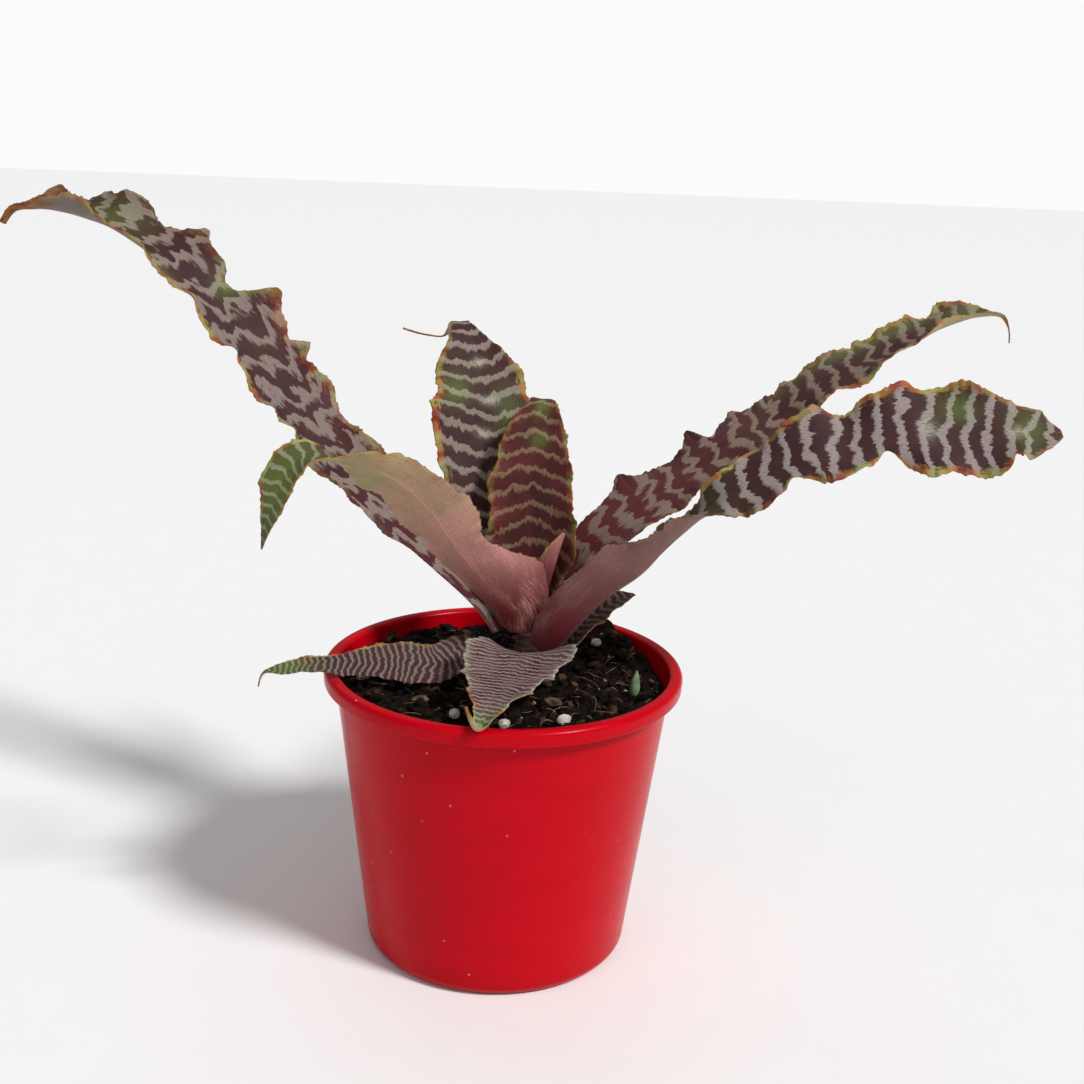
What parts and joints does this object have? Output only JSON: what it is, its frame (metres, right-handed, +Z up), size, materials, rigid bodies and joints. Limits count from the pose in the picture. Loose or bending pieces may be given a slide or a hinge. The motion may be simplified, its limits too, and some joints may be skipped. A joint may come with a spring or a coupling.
{
  "type": "potted bromeliad",
  "caption": "Banded earth-star bromeliad with long ruffled leaves spreading from a short crown, growing in dark mix in a round tapered red plastic nursery pot.",
  "frame": {"origin": "middle of the pot's underside, on the surface the pot stands on", "axes": "+Z up along the pot's axis; +X towards the right as seen by a viewer at -Y, along the span of the two longest leaves; -Y towards the viewer, where the low front leaf hangs over the rim"},
  "size_m": [0.3964, 0.1661, 0.2632],
  "materials": {
    "pot_plastic": "gloss",
    "potting_mix": "matte",
    "stem_skin": "matte",
    "leaf_long_left": "satin",
    "leaf_back_right": "satin",
    "leaf_front_right": "satin",
    "leaf_front_left": "matte",
    "leaf_back_upright": "satin",
    "leaf_centre": "satin",
    "leaf_young": "satin",
    "leaf_low_front": "matte",
    "leaf_low_left": "matte",
    "leaf_low_right": "matte",
    "green_shoot": "satin",
    "pale_grain": "matte",
    "bark_chip": "matte"
  },
  "bodies": {
    "root": {"pot": "pot_plastic", "soil": "potting_mix", "stem": "stem_skin", "leaf_long_left": "leaf_long_left", "leaf_back_right": "leaf_back_right", "leaf_front_right": "leaf_front_right", "leaf_front_left": "leaf_front_left", "leaf_back_upright": "leaf_back_upright", "leaf_centre": "leaf_centre", "leaf_young": "leaf_young", "leaf_low_front": "leaf_low_front", "leaf_low_left": "leaf_low_left", "leaf_low_right": "leaf_low_right", "sprout": "green_shoot", "perlite_left": "pale_grain", "perlite_near_left": "pale_grain", "perlite_near_middle": "pale_grain", "perlite_near_right": "pale_grain", "perlite_far_right": "pale_grain", "bark_near_left": "bark_chip", "bark_near_right": "bark_chip"}
  },
  "joints": []
}
